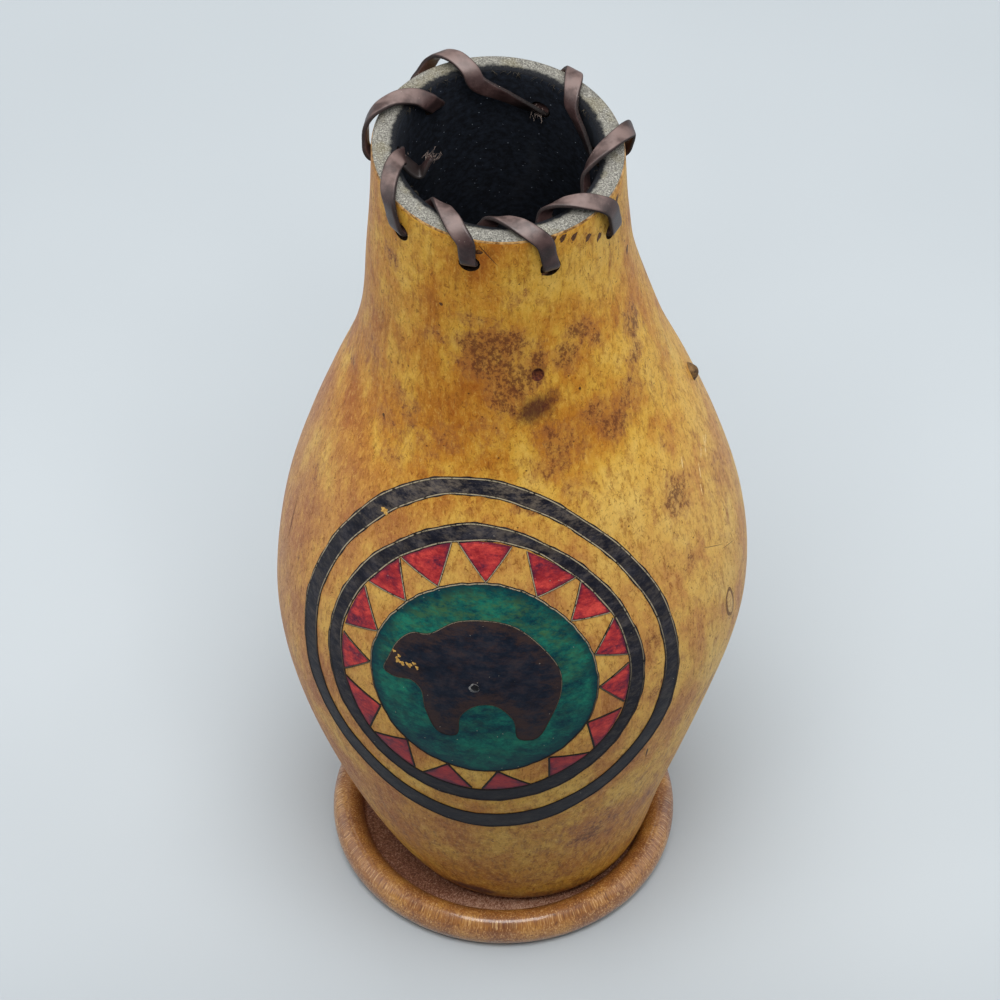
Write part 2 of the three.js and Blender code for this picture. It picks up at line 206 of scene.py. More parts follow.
def unevenness(angle, height):
    """How far the grown shell stands out from the turned shape. It fades at the rim and the foot."""
    waves = 0.3 * np.sin(3 * angle + 0.9 + height * 0.021) + 0.2 * np.sin(5 * angle - 1.7 - height * 0.034)
    for at, up, width, tall, depth in SWELLINGS:
        side = round_way(angle, at, BELLY_RADIUS) / width
        waves = waves + depth * np.exp(-(side**2) - ((height - up) / tall) ** 2)
    return waves * (smooth_step(*UNEVEN_FROM, height) * (1 - smooth_step(*EVEN_FROM, height)))


def rind_point(angle, height, lift=0.0):
    return gourd_point(angle, radius_at(height) + unevenness(angle, height) + lift, height)


# Mesh making


def add_object(name, data):
    made = bpy.data.objects.new(name, data)
    bpy.context.collection.objects.link(made)
    return made


def make_object(name, points, faces, *materials):
    mesh = bpy.data.meshes.new(name)
    mesh.from_pydata((np.asarray(points).reshape(-1, 3) * MM).tolist(), [], faces)
    mesh.shade_smooth()
    for material in materials:
        mesh.materials.append(material)
    return add_object(name, mesh)


def grid_faces(rows, columns, wrap=False):
    """Faces of a grid of points, row by row. A wrapped grid closes each row on itself."""
    faces = []
    for low in range(0, (rows - 1) * columns, columns):
        for i in range(columns if wrap else columns - 1):
            beside, high = (i + 1) % columns, low + columns
            faces.append((low + i, low + beside, high + beside, high + i))
    return faces


def closed_mesh(rows, start, end):
    """Points and faces of rings of points, with a fan to a middle point at each end."""
    count, columns = rows.shape[:2]
    points = np.concatenate([rows.reshape(-1, 3), [start, end]])
    first = count * columns
    top = first - columns
    faces = grid_faces(count, columns, wrap=True)
    faces += [(first, (i + 1) % columns, i) for i in range(columns)]
    faces += [(first + 1, top + i, top + (i + 1) % columns) for i in range(columns)]
    return points, faces


def closed_rows(name, rows, start, end, *materials):
    return make_object(name, *closed_mesh(np.asarray(rows), start, end), *materials)


def joined(name, parts, *materials):
    """One object from several (points, faces) parts."""
    points, faces, first = [], [], 0
    for part_points, part_faces in parts:
        points.append(part_points)
        faces += [tuple(first + corner for corner in face) for face in part_faces]
        first += len(part_points)
    return make_object(name, np.concatenate(points), faces, *materials)


def store(piece, name, values):
    """Keeps one value for each point of a piece, for its material."""
    layer = piece.data.attributes.new(name, "FLOAT", "POINT")
    layer.data.foreach_set("value", np.asarray(values, np.float32))


def finish_piece(piece, slot, *nodes):
    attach(piece, "root")
    if nodes:
        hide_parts(*nodes)


def spline_points(points, per_span, closed=False):
    """Points along a smooth curve through the given ones, with knots spaced by the root of their distance."""
    if closed:
        points = np.concatenate([points[-1:], points, points[:2]])
    else:
        points = np.concatenate([[2 * points[0] - points[1]], points, [2 * points[-1] - points[-2]]])
    spans = []
    for p0, p1, p2, p3 in zip(points, points[1:], points[2:], points[3:]):
        k1, k2, k3 = np.cumsum([np.linalg.norm(b - a) ** 0.5 for a, b in ((p0, p1), (p1, p2), (p2, p3))])
        t = np.linspace(k1, k2, per_span, endpoint=False)[:, None]
        share = (t - k1) / (k2 - k1)
        middle = between(p1, p2, share)
        before = between(between(p0, p1, t / k1), middle, t / k2)
        after = between(middle, between(p2, p3, (t - k2) / (k3 - k2)), (t - k1) / (k3 - k1))
        spans.append(between(before, after, share))
    return np.concatenate(spans if closed else [*spans, points[-2:-1]])


def strand(points, thickness):
    """A thin fibre along a few points, thinner towards its end."""
    path = spline_points(np.asarray(points, float), 4)
    along = unit(np.gradient(path, axis=0))
    askew = [0.3, 0.5, 0.81]
    side = unit(np.cross(along, askew))
    over = np.cross(along, side)
    reach = thickness / 2 * np.linspace(1, 0.35, len(path))[:, None]
    rows = [path + reach * (side * math.cos(turn) + over * math.sin(turn)) for turn in full_turn(5)]
    return closed_mesh(np.stack(rows, 1), path[0], path[-1])


# Material making


def colour(hexa):
    """Linear colour of a hex value."""
    parts = [int(hexa[i : i + 2], 16) / 255 for i in (0, 2, 4)]
    return (*[c / 12.92 if c <= 0.04045 else ((c + 0.055) / 1.055) ** 2.4 for c in parts], 1)


class Look:
    """A material's nodes, with one short call for each kind. Feature sizes are in mm, places in metres.

    The base colour starts as a ramp, and washes of other colours go over it.
    """

    def __init__(self, name, shine, roughness):
        self.material = bpy.data.materials.new(name)
        self.material.use_nodes = True
        self.nodes = self.material.node_tree.nodes
        self.surface = self.nodes["Principled BSDF"].inputs
        self.surface["Specular IOR Level"].default_value = shine
        self.surface["Roughness"].default_value = roughness
        self.place = self.nodes.new("ShaderNodeTexCoord").outputs["Object"]
        self.base = None

    def put(self, value, socket):
        if isinstance(value, bpy.types.NodeSocket):
            self.material.node_tree.links.new(value, socket)
        else:
            socket.default_value = value

    def node(self, kind, **inputs):
        """A new node with its inputs. An underscore in an input's name stands for a space."""
        made = self.nodes.new("ShaderNode" + kind)
        for name, value in inputs.items():
            self.put(value, made.inputs[name.replace("_", " ")])
        return made

    def axes(self):
        return self.node("SeparateXYZ", Vector=self.place).outputs

    def noise(self, size, detail=4, roughness=0.55, stretch=None, place=None, distortion=0):
        """Cloudy values about 0.5, with features about size across."""
        if stretch:
            place = self.node("Mapping", Vector=self.place, Scale=stretch).outputs["Vector"]
        settings = {"Detail": detail, "Roughness": roughness, "Distortion": distortion}
        made = self.node("TexNoise", Vector=place or self.place, Scale=1 / (size * MM), **settings)
        return made.outputs["Fac"]

    def specks(self, spacing, share):
        """1 on scattered specks, whose radius is a share of their spacing, and 0 between them."""
        cells = self.node("TexVoronoi", Vector=self.place, Scale=1 / (spacing * MM))
        return self.math("LESS_THAN", cells.outputs["Distance"], share)

    def stored(self, name):
        made = self.node("Attribute")
        made.attribute_name = name
        return made.outputs["Fac"]

    def math(self, operation, first, second=0.0):
        made = self.node("Math")
        made.operation = operation
        self.put(first, made.inputs[0])
        self.put(second, made.inputs[1])
        return made.outputs["Value"]

    def times(self, first, second):
        return self.math("MULTIPLY", first, second)

    def sum(self, *scaled):
        """Sum of (value, factor) pairs."""
        total, *others = [self.times(value, factor) for value, factor in scaled]
        for other in others:
            total = self.math("ADD", total, other)
        return total

    def step(self, value, low, high, to_low=0.0, to_high=1.0):
        made = self.node("MapRange", Value=value, From_Min=low, From_Max=high, To_Min=to_low, To_Max=to_high)
        made.interpolation_type = "SMOOTHSTEP"
        return made.outputs["Result"]

    def ramp(self, value, *stops):
        """A colour from (position, hex) stops."""
        made = self.node("ValToRGB", Fac=value)
        points = made.color_ramp.elements
        while len(points) < len(stops):
            points.new(0.5)
        for point, (position, hexa) in zip(points, stops):
            point.position = position
            point.color = colour(hexa)
        return made.outputs["Color"]

    def wash(self, over, share, low=None, high=None, most=1):
        """Lays a share of a colour over the base, or up to most of it as a value goes from low to high."""
        if low is not None:
            share = self.step(share, low, high, 0, most)
        made = self.node("Mix")
        made.data_type = "RGBA"
        self.put(share, made.inputs[0])
        self.put(self.base, made.inputs[6])
        self.put(colour(over) if isinstance(over, str) else over, made.inputs[7])
        self.base = made.outputs[2]

    def varnish(self, weight, roughness):
        self.surface["Coat Weight"].default_value = weight
        self.surface["Coat Roughness"].default_value = roughness

    def finish(self, roughness=None, height=None, depth=0.1):
        """Puts on the base colour, and where they are given the roughness and a bump of depth."""
        self.put(self.base, self.surface["Base Color"])
        if roughness is not None:
            self.put(roughness, self.surface["Roughness"])
        if height is not None:
            bump = self.node("Bump", Distance=depth * MM, Height=height)
            self.put(bump.outputs["Normal"], self.surface["Normal"])
        return self.material


def grained_material(name, tones, size, shine, roughness, stops, detail=4, harshness=0.55, depth=0.1):
    """A deep and a pale tone in grain about size across, with a bump."""
    look = Look(name, shine, roughness)
    grain = look.noise(size, detail, harshness)
    look.base = look.ramp(grain, *zip(stops, tones))
    return look.finish(height=grain, depth=depth)


def make_patches(name, parts, material_name, tones, size, slot="gourd_rind"):
    """One piece of small parts that share two tones."""
    paint = grained_material(material_name, tones, size, 0.25, 0.55, (0.38, 0.64), harshness=0.65, depth=0.06)
    finish_piece(joined(name, parts, paint), slot)


# Materials of the gourd


def rind_material():
    look = Look("gourd rind", 0.1, 0.42)
    across, _, height = look.axes()
    patches = look.noise(15, 7, 0.68, (1, 1, 0.6))
    # The left side is more orange, and the right side and the glowing patches are more yellow
    patches = look.sum((patches, 1), (across, 1.0), (look.stored("glow"), 0.1))
    mottle = look.noise(4, 7, 0.75, (1, 1, 0.75))
    streaks = look.noise(1.5, 5, 0.7, (1, 1, 0.15))
    grain = look.noise(1, 4, 0.85, (1, 1, 0.5), distortion=1)
    tones = ((0.34, "a8601e"), (0.47, "c2822a"), (0.58, "d6a43e"), (0.74, "e4bc5e"))
    look.base = look.ramp(patches, *tones)
    look.wash("9a5a22", mottle, 0.5, 0.66, 0.5)
    # The foot is painted browner, as painted shade low down under the belly, and the belly is painted paler,
    # as a painted sheen
    look.wash("985c20", height, 0.09, 0.012, 0.6)
    painted_belly_sheen = look.times(look.step(height, 0.075, 0.115), look.step(height, 0.19, 0.15, 0, 0.16))
    look.wash("d0b898", painted_belly_sheen)
    # Fine grain, which is coarser and darker at the foot
    low = look.step(height, 0.08, 0.03)
    look.wash("90561c", streaks, 0.51, 0.66, 0.5)
    look.wash("e0b052", streaks, 0.47, 0.34, 0.3)
    look.wash("582c10", look.times(look.step(streaks, 0.48, 0.66, 0, 0.5), low))
    look.wash("744018", grain, 0.52, 0.66, 0.7)
    look.wash("ecc466", grain, 0.46, 0.34, 0.35)
    # Blotches are a soft brown tint under dark flecks, which thin out at their edges
    blotch = look.sum((look.stored("blotch"), 1), (mottle, 1.5), (streaks, 0.5))
    look.wash("a2683e", blotch, 1.15, 1.65, 0.45)
    flecks = look.noise(1.1, 5, 0.8, (1, 1, 0.7))
    covered = look.step(blotch, 1.1, 1.85)
    flecked = look.step(look.sum((covered, 0.19), (flecks, 1)), 0.61, 0.75, 0, 0.78)
    look.wash(look.ramp(covered, (0.2, "8a5636"), (0.9, "5c2e1e")), flecked)
    stain = look.sum((look.stored("stain"), 0.8), (mottle, 0.7), (grain, 0.4))
    look.wash("4a2220", stain, 0.75, 1.35, 0.9)
    look.wash("4e2c18", look.times(look.specks(4.5, 0.06), 0.8))
    look.varnish(0.05, 0.3)
    relief = look.sum((grain, 0.6), (mottle, 0.8))
    return look.finish(look.step(grain, 0.3, 0.7, 0.36, 0.5), relief, 0.1)


def rim_material():
    look = Look("rim paint", 0.2, 0.75)
    flecks = look.noise(0.4, 3, 0.85)
    clouds = look.noise(7, 3)
    look.base = look.ramp(flecks, (0.34, "3c3c38"), (0.46, "6e6c66"), (0.55, "8a8880"), (0.68, "bcbab0"))
    look.wash("746a44", clouds, 0.48, 0.64, 0.3)
    # The black coat of the inside laps raggedly over the inner edge
    smears = look.noise(1.6, 6, 0.8)
    lap = look.sum((look.stored("lap"), 1), (smears, 1.5), (flecks, 0.7))
    look.wash("14161b", lap, 1.35, 1.85)
    return look.finish(look.step(flecks, 0.3, 0.7, 0.55, 0.85), flecks, 0.2)


def inner_material():
    look = Look("black inner coat", 0.2, 0.85)
    fuzz = look.noise(1.6, 5, 0.7)
    smears = look.noise(9, stretch=(1, 1, 0.3))
    look.base = look.ramp(fuzz, (0.4, "12151c"), (0.7, "272e3a"))
    look.wash("34383f", smears, 0.52, 0.75, 0.4)
    look.wash("98a2b0", look.times(look.specks(1.7, 0.08), look.step(fuzz, 0.42, 0.58)))
    return look.finish(height=fuzz, depth=0.1)


# Gourd shell

# Brown blotches on the rind: angle in degrees, height, half width, half height, strength
BLOTCHES = [
    (-3, 222, 11, 6.5, 1), (-7, 216, 8, 7, 1), (2, 211, 8.5, 7, 1), (-1, 205, 5, 5, 0.9),
    (13, 217, 5, 4, 0.8), (35, 222, 5, 4.5, 0.9), (27, 216, 4.6, 5.2, 1), (41, 217, 3.4, 3.4, 0.7),
    (64, 212, 5, 7.5, 0.85), (60, 204, 4.6, 4, 0.85), (35, 197, 5, 5, 0.8), (41, 191, 6, 5, 0.85),
    (51, 196, 7, 7, 0.65), (18, 192, 8.6, 6.8, 0.65), (14, 186, 7, 7, 0.6), (26, 188, 5, 6, 0.5),
    (22, 178, 6.4, 6, 0.5), (-10, 230, 6.5, 3.5, 0.6), (-7, 198, 7, 7, 0.5), (-23, 191, 6, 6, 0.5),
    (6, 238, 4, 5, 0.5), (-55, 238, 4, 4, 0.8), (-30, 222, 5, 4, 0.6), (-83, 186, 6, 3, 0.7),
    (-53, 187, 6, 5, 0.6), (-41, 195, 6, 6, 0.55), (-43, 180, 6, 4, 0.55), (-69, 200, 7, 7, 0.55),
    (6, 175, 5, 3, 0.7), (57, 161, 7, 6.5, 0.85), (60, 175, 5, 4.4, 0.5), (55, 142, 5, 5.5, 0.65),
    (38, 128, 4.6, 6, 0.75), (29, 47, 11, 13, 0.75), (49, 46, 12, 11, 0.55), (-39, 38, 11, 13, 0.5),
    (63, 85, 8, 11, 0.55), (-68, 130, 5, 8, 0.5), (-76, 154, 6, 6, 0.6), (80, 150, 8, 10, 0.5),
    (5, 24, 26, 7, 0.5), (-33, 186, 9, 8, 0.45), (38, 110, 7, 9, 0.5),
]
BACK_BLOTCHES = 26
# Smooth purple-brown stains: the same numbers, and for one of them a tilt in degrees
STAINS = [
    (11, 202, 7.2, 5, 1, 32), (-19.5, 12.5, 8, 3.4, 1.1), (29, 47, 9, 11, 0.35), (-8, 229, 7, 4, 0.3),
    (13.2, 212.8, 3.4, 3.8, 0.8), (24, 13, 12, 4, 0.55), (-44, 16, 8, 6, 0.6), (52, 18, 8, 8, 0.5),
]
# Yellow glows, with the same numbers as the blotches
GLOWS = [
    (38, 178, 16, 16, 1), (54, 160, 12, 16, 0.8), (24, 234, 10, 10, 0.7), (52, 236, 9, 9, 0.7),
    (-22, 236, 7, 9, 0.4), (-50, 234, 9, 9, 0.6), (66, 190, 10, 14, 0.7), (150, 150, 30, 30, 0.8),
    (-150, 200, 20, 25, 0.7),
]
# A pit in the rind: a blotch's first four numbers, and the lift of its cutter's middle
PIT, PIT_LIFT = (13.8, 212.5, 1.9, 2.5), 1.1
MEAN_WALL, WALL_CHANGE = 5.5, 0.5
SHELL_COLUMNS = 256


def wall_at(angle):
    """The rind is thinner at the front and back than at the sides."""
    return MEAN_WALL - WALL_CHANGE * np.cos(2 * angle)


def quarter_bend(steps):
    """Shares out and up along a quarter circle."""
    turn = np.linspace(0, math.pi / 2, steps)
    return list(zip(1 - np.cos(turn), np.sin(turn)))


def shell_bands():
    """Rings of points in bands: the outside, the rim's edge, the cut rim and the inside."""
    angles = full_turn(SHELL_COLUMNS)
    wall = wall_at(angles)
    rim_start = RIM_HEIGHT - RIM_ROUND
    bend = quarter_bend(5)
    foot = [(FOOT_RADIUS - FOOT_ROUND * (1 - up), GOURD_BOTTOM + FOOT_ROUND * out) for out, up in bend]
    outer_heights = np.linspace(GOURD_BOTTOM + 2, rim_start, 172)
    outer = [(radius_at(height) + unevenness(angles, height), height) for height in outer_heights]
    edge = [(RIM_RADIUS - RIM_ROUND * out, rim_start + RIM_ROUND * up) for out, up in quarter_bend(6)[1:]]
    crown = zip(np.linspace(0.15, 0.85, 6), (0.1, 0.2, 0.25, 0.25, 0.2, 0.1))
    face = [(RIM_RADIUS - between(RIM_ROUND, wall - RIM_ROUND, at), RIM_HEIGHT + up) for at, up in crown]
    lip = [(RIM_RADIUS - wall + RIM_ROUND * (1 - up), RIM_HEIGHT - RIM_ROUND * out) for out, up in bend]
    inner_heights = np.linspace(rim_start, GOURD_BOTTOM + BOTTOM_WALL, 56)[1:]
    inner = [(radius_at(height) - wall, height) for height in inner_heights]
    bands = [foot + outer, edge[:2], edge[2:] + face + lip[:-1], lip[-1:] + inner]
    return [[gourd_point(angles, *ring) for ring in band] for band in bands]


def upright_ring(count, across, tall):
    """A ring of points that stands upright along the step across."""
    turn = full_turn(count)
    return np.outer(np.cos(turn), across) + np.outer(np.sin(turn), [0, 0, tall])


def hole_cutter(angle, height):
    """A round bar through the wall, for a lacing hole."""
    middle = gourd_point(angle, RIM_RADIUS - LACE_WALL / 2, height)
    across, outwards = directions(angle)
    ring = middle + upright_ring(40, across * HOLE_RADIUS, HOLE_RADIUS)
    ends = np.outer((-1, 1), outwards * LACE_WALL)
    return closed_rows("hole_cutter", [ring + end for end in ends], *(middle + ends), hole_shade_rind)


def pit_cutter(at, height, wide, tall):
    """A squashed ball that leaves a pit in the rind."""
    angle = math.radians(at)
    middle = rind_point(angle, height, PIT_LIFT)
    across, outwards = [step * wide for step in directions(angle)]
    ring = upright_ring(20, across, tall)
    tilts = np.linspace(-math.pi / 2, math.pi / 2, 10)[1:-1]
    rows = [middle + ring * math.cos(tilt) + outwards * math.sin(tilt) for tilt in tilts]
    return closed_rows("pit_cutter", rows, middle - outwards, middle + outwards, pit_rind)


def cut_out(body, cutters):
    """Cuts each cutter out of body and keeps only the result."""
    for cutter in cutters:
        cut = body.modifiers.new("cut", "BOOLEAN")
        cut.object = cutter
        cut.solver = "EXACT"
        cut.material_mode = "TRANSFER"
    shown = body.evaluated_get(bpy.context.evaluated_depsgraph_get())
    mesh = bpy.data.meshes.new_from_object(shown)
    body.modifiers.clear()
    body.data = mesh
    for cutter in cutters:
        bpy.data.objects.remove(cutter)


def back_blotches():
    """Scattered blotches for the side that the photograph doesn't show."""
    columns = ((100, 260), (30, 235), (3, 8), (3, 9), (0.4, 0.9))
    return np.stack([random.uniform(low, high, BACK_BLOTCHES) for low, high in columns], -1)


def spots_at(angle, height, spots):
    """How strong the strongest of the spots is at each point."""
    strongest = np.zeros(len(height))
    for at, up, wide, tall, strength, *tilt in spots:
        side = round_way(angle, at, radius_at(height))
        along, across = turned(side, height - up, -sum(tilt))
        spot = np.exp(-((along / wide) ** 2) - (across / tall) ** 2)
        strongest = np.maximum(strongest, strength * spot)
    return strongest


def mark_shell(shell):
    """Stores how brown, yellow and stained each point of the rind is, and how near the rim's inner edge."""
    points = np.empty(len(shell.data.vertices) * 3, np.float32)
    shell.data.vertices.foreach_get("co", points)
    points = points.reshape(-1, 3) / MM
    angle, height = angle_of(points), points[:, 2]
    layers = {"blotch": [*BLOTCHES, *back_blotches()], "glow": GLOWS, "stain": STAINS}
    for name, spots in layers.items():
        store(shell, name, spots_at(angle, height, spots))
    store(shell, "lap", 1 - smooth_step(0.2, 2.8, reach_of(points) - RIM_RADIUS + wall_at(angle)))


def make_shell():
    bands = shell_bands()
    ends = [gourd_point(0, 0, height) for height in (GOURD_BOTTOM, GOURD_BOTTOM + BOTTOM_WALL)]
    rim_edge = grained_material("rim edge", ("6e4a22", "c89c60"), 1.3, 0.3, 0.6, (0.38, 0.62))
    materials = (rind_material(), rim_edge, rim_material(), inner_material(), hole_shade_rind, pit_rind)
    shell = closed_rows("gourd_shell_rind", sum(bands, []), *ends, *materials)
    band_of_row = np.repeat(range(len(bands)), [len(band) for band in bands])
    band_of_face = np.repeat([*band_of_row[1:], 0, 3], SHELL_COLUMNS)
    shell.data.polygons.foreach_set("material_index", band_of_face.astype(np.int32))
    cut_out(shell, [hole_cutter(*hole) for hole in HOLES] + [pit_cutter(*PIT)])
    shell.data.set_sharp_from_angle(angle=math.radians(48))
    mark_shell(shell)
    finish_piece(shell, "gourd_rind", "gourd_shell")


# The drilled holes' walls are painted near-black, as painted shade inside the holes
hole_shade_rind = grained_material("drilled rind", ("140d08", "3c2614"), 0.6, 0.15, 0.9, (0.4, 0.7))
pit_rind = grained_material("pitted rind", ("44221a", "7a4428"), 0.6, 0.15, 0.9, (0.4, 0.7))
make_shell()


# Small marks on the rind: burns, scratches, a scar, a wart and fibres

# Burned leaf marks below the rim: angle in degrees and height
LEAF_MARKS = [(25, 255.2), (30, 254.5), (36, 253.3), (44, 250.3), (51, 247.7), (67.3, 252.8), (75, 231)]
# Dark flecks: angle in degrees, height, half width, half height, tilt
DARK_FLECKS = [
    (-26.3, 232.4, 0.5, 0.5, 0), (-52.8, 187.3, 0.5, 0.5, 0), (-79, 134, 0.2, 6, 12),
    (38.9, 81.9, 0.3, 2.2, 5), (65, 138, 5, 0.07, -38), (72, 132, 4, 0.07, -30), (-63, 80, 0.2, 2.6, 20),
    (-4.9, 252.2, 3.8, 0.14, -55), (-9, 252.8, 1.1, 0.7, 15), (20.6, 244.5, 0.9, 0.4, 10),
    (30, 205, 0.3, 0.5, 0),
]
# Pale scratches: angle in degrees, height, half length, tilt
SCRATCHES = [
    (78.6, 160.2, 2.8, 56), (80.5, 160.5, 1.6, 20), (75, 161, 1.4, 40), (64, 166.2, 1.5, 70),
    (70.6, 158.5, 2, 70), (68, 154.4, 1.5, 75),
]
# The healed scar and the wart: angle in degrees, height, half width, half height
SCAR, SCAR_TILT = (67.8, 115.3, 2.3, 5.6), 8
WART = (96.8, 171.4, 2.2, 2.3)


def spot_mesh(at, up, wide, tall, tilt=0.0, swell=0.03, wobble=0.15, lift=0.02):
    """A thin patch on the rind with an uneven edge, swollen in the middle."""
    turn = full_turn(20)
    lumps = 1 + wobble * (np.sin(3 * turn + at) + 0.6 * np.sin(5 * turn + up))
    side, rise = turned(wide * lumps * np.cos(turn), tall * lumps * np.sin(turn), tilt)
    angle, radius = math.radians(at), float(radius_at(up))
    shares = np.linspace(1, 0.12, 6)
    rows = [
        rind_point(angle + side * share / radius, up + rise * share, lift + swell * (1 - share**2))
        for share in shares
    ]
    middle = rind_point(angle, up, lift + swell)
    points = np.concatenate([np.array(rows).reshape(-1, 3), [middle]])
    top = (len(shares) - 1) * len(turn)
    cap = [(top + i, top + (i + 1) % len(turn), len(points) - 1) for i in range(len(turn))]
    return points, grid_faces(len(shares), len(turn), wrap=True) + cap


def make_marks():
    leaves = [spot_mesh(at, up, 0.75, 1.25, -28) for at, up in LEAF_MARKS]
    flecks = [spot_mesh(*fleck, 0.02, 0.08) for fleck in DARK_FLECKS]
    make_patches("burned_marks", leaves + flecks, "burned mark", ("3e2210", "6c441e"), 0.5)
    lines = [spot_mesh(at, up, half, 0.2, tilt, 0.03, 0.05) for at, up, half, tilt in SCRATCHES]
    make_patches("pale_scratches", lines, "pale scratch", ("e0b468", "f6e0a8"), 0.6)
    at, up, wide, tall = SCAR
    edge = spot_mesh(at, up, wide, tall, SCAR_TILT, 0.1, 0.05)
    make_patches("scar_edge", [edge], "scar edge", ("6a421c", "946a34"), 0.8)
    face = spot_mesh(at, up, wide * 0.8, tall * 0.9, SCAR_TILT, 0.16, 0.05)
    make_patches("scar_face", [face], "healed scar", ("b98a48", "e0be80"), 0.9)
    make_patches("stem_wart", [spot_mesh(*WART, 0, 1.8, 0.12)], "wart", ("34210f", "84643c"), 2.2)


def rim_fibres():
    """Frayed fibres along the inner edge of the rim, mostly at the back."""
    strands = []
    for angle in np.concatenate([random.uniform(2.0, 4.3, 60), random.uniform(-1.5, 1.5, 20)]):
        drop, reach, sway = random.uniform(0.3, 1.6), random.uniform(0.1, 0.8), random.uniform(-0.06, 0.06)
        edge = RIM_RADIUS - wall_at(angle)
        # Turn, way in from the edge and way down of each stop
        stops = ((0, -0.1, 0.4), (sway * 0.4, reach * 0.7, 0.3 + drop * 0.3), (sway, reach, 0.6 + drop))
        points = [gourd_point(angle + turn, edge - way, RIM_HEIGHT - down) for turn, way, down in stops]
        strands.append(strand(points, random.uniform(0.08, 0.2)))
    make_patches("rim_fibres", strands, "rim fibre", ("1c1a18", "4c4436"), 0.8)


make_marks()
rim_fibres()


# Saucer


def saucer_material():
    look = Look("stained turned wood", 0.4, 0.4)
    # Fine lines that run outwards: direction from the middle sets the line, distance only its length
    x, y, z = look.axes()
    reach = look.math("SQRT", look.sum((x, x), (y, y)))
    side, back = [look.times(look.math("DIVIDE", axis, reach), BEAD_RADIUS * MM) for axis in (x, y)]
    lines = look.node("CombineXYZ", X=side, Y=back, Z=look.sum((reach, 0.8), (z, 0.8)))
    hatch = look.noise(0.38, 3, 0.75, place=lines.outputs["Vector"])
    clouds = look.noise(8, 5, 0.65)
    stipple = look.noise(0.8, 3, 0.7)
    look.base = look.ramp(clouds, (0.36, "865024"), (0.5, "a46a30"), (0.64, "ba823a"))
    look.wash("64361c", hatch, 0.5, 0.66, 0.75)
    look.wash("e6bc82", hatch, 0.47, 0.33, 0.65)
    sunk = look.step(look.sum((z, 1), (clouds, 0.002)), 0.0088, 0.0062)
    inside = look.times(sunk, look.step(reach, 0.0392, 0.037))
    # The floor is painted paler at the front, as painted light where the belly doesn't shade it
    strokes_and_front_light = look.sum((hatch, 0.7), (stipple, 0.3), (look.step(y, -0.027, -0.035), 0.1))
    floor = look.ramp(strokes_and_front_light, (0.4, "4c2618"), (0.51, "82503a"), (0.62, "bc9076"), (0.72, "dcb8a0"))
    look.wash(floor, look.times(inside, 0.95))
    look.varnish(0.75, 0.16)
    roughness = look.math("ADD", look.step(hatch, 0.3, 0.7, 0.3, 0.5), look.times(inside, 0.3))
    return look.finish(roughness, look.sum((hatch, 1), (stipple, inside)), 0.2)


def make_saucer():
    floor_turn = math.asin(SAUCER_FLOOR / (BEAD_HEIGHT / 2) - 1)
    turn = np.linspace(-math.pi / 2, math.pi - floor_turn, 44)
    bead = zip(BEAD_RADIUS + BEAD_WIDTH / 2 * np.cos(turn), BEAD_HEIGHT / 2 * (1 + np.sin(turn)))
    under = [(reach, 0) for reach in np.linspace(2, BEAD_RADIUS - 1, 14)]
    floor = [(reach, SAUCER_FLOOR) for reach in np.linspace(SAUCER_FLOOR_RADIUS - 0.8, 2, 20)]
    rows = [round_point(full_turn(240), *ring) for ring in [*under, *bead, *floor]]
    saucer = closed_rows("turned_saucer_wood", rows, (0, 0, 0), (0, 0, SAUCER_FLOOR), saucer_material())
    finish_piece(saucer, "saucer_wood", "turned_saucer")


make_saucer()


# Glue under the foot, with dried specks at the seam

# Specks: angle in degrees round the foot and size
GLUE_SPECKS = [(36, 0.5), (39, 0.35), (43, 0.4), (-120, 0.9), (160, 1.1), (100, 0.7)]


def glue_drop(number, at, size):
    """A lumpy drop on the saucer's floor, beside the foot."""
    middle = FOOT_MIDDLE + round_point(math.radians(at), FOOT_RADIUS + 0.7, 0)
    turn = full_turn(14)
    lumps = size * (1 + 0.25 * np.sin(3 * turn + number) + 0.15 * np.sin(5 * turn))
    ring = np.stack([lumps * np.cos(turn), lumps * np.sin(turn), np.zeros(len(turn))], -1)
    layers = ((1, 0.02), (0.95, 0.3), (0.75, 0.55), (0.4, 0.72))
    rows = [middle + ring * out + [0, 0, size * up] for out, up in layers]
    return closed_mesh(np.array(rows), middle + [0, 0, 0.01], middle + [0, 0, size * 0.78])


def make_glue():
    glue = grained_material("dried glue", ("5a4a36", "a89a80"), 1.2, 0.4, 0.4, (0.4, 0.65), detail=3)
    turn = full_turn(64)
    spread = FOOT_RADIUS - 1.8 + 0.5 * np.sin(5 * turn) + 0.3 * np.sin(11 * turn + 1)
    layers = ((1.5, 0.1), (0.2, 0.3), (0, 0.7), (0.3, 1.1), (1.5, 1.3))
    rows = [FOOT_MIDDLE + round_point(turn, spread - inset, rise) for inset, rise in layers]
    ends = [FOOT_MIDDLE + [0, 0, layers[i][1]] for i in (0, -1)]
    finish_piece(closed_rows("glue_bed_spread", rows, *ends, glue), "glue", "glue_bed")
    drops = [glue_drop(number, *speck) for number, speck in enumerate(GLUE_SPECKS)]
    finish_piece(joined("glue_specks", drops, glue), "glue")


make_glue()


# Medallion paint

# Turns in degrees of each ray's corners on the inner ring and of its tip on the disc
RAYS = [
    (2, 20, 14), (23, 42, 38), (45, 69, 61), (76, 101, 90), (104, 129, 117), (130, 149, 138), (152, 173, 164),
    (177, 194, 184), (197, 220, 210), (223, 243, 232), (247, 266, 255), (270, 288, 279), (296, 314, 305),
    (317, 337, 332), (340, 358, 354),
]
